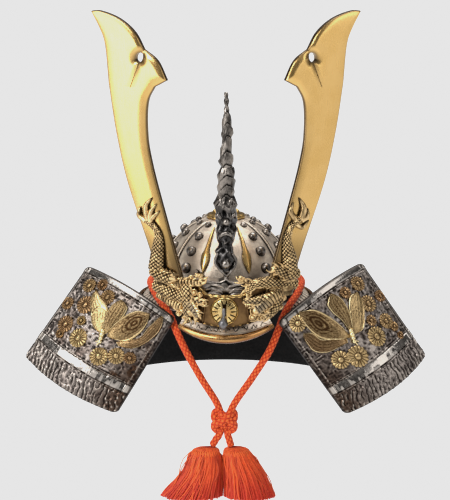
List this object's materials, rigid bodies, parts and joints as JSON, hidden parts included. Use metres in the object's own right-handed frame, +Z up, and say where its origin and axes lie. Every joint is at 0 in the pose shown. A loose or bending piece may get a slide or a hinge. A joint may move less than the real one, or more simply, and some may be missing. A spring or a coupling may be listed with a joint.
{
  "type": "ornamental kabuto helmet",
  "caption": "Desk-top cast-metal samurai helmet: riveted bowl, tall horns, upright dragon crest, turned-back side plates, stepped neck guard, braided cord with tassels.",
  "frame": {"origin": "centre of the bowl's dome, inside the bowl, level with its widest part, where a head or a stand's block seats", "axes": "+Z up through the crown, -Y towards the front with the crest, +X towards the viewer's right"},
  "size_m": [0.1998, 0.112, 0.2357],
  "materials": {
    "antique_silver": "silver plated casting with a dark rubbed patina, half gloss",
    "dark_silver": "blackened silver plating, highlights rubbed bright",
    "gunmetal": "glossy dark gunmetal plating",
    "satin_gold": "satin gold plating, finely brushed",
    "polished_gold": "polished gold plating",
    "antique_brass": "brass with brown patina in its recesses",
    "gold_copper": "polished reddish gold",
    "guard_grey": "dark grey outside, matt black inside",
    "lead_grey": "dull lead grey",
    "orange_braid": "round braided cord, vermilion orange",
    "tassel_thread": "silky thread, deep orange red"
  },
  "bodies": {
    "root": {"bowl": "antique_silver", "crown_ring": "polished_gold", "shinodare_left": "polished_gold", "shinodare_right": "polished_gold", "crest_base": "antique_brass", "crest_socket": "dark_silver", "boss": "polished_gold", "boss_pin": "lead_grey", "visor": "antique_silver", "visor_rim": "gold_copper", "laced_band": "dark_silver", "flange_ring": "gold_copper", "neck_guard": "guard_grey", "turnback_left": "antique_silver", "turnback_right": "antique_silver", "horn_right": "satin_gold", "horn_left": "satin_gold", "dragon_left": "antique_brass", "dragon_right": "antique_brass", "dragon_crest": "gunmetal", "cord": "orange_braid", "tail_left": "orange_braid", "tail_right": "orange_braid", "knot": "orange_braid", "tassel_left": "tassel_thread", "tassel_right": "tassel_thread"}
  },
  "joints": []
}
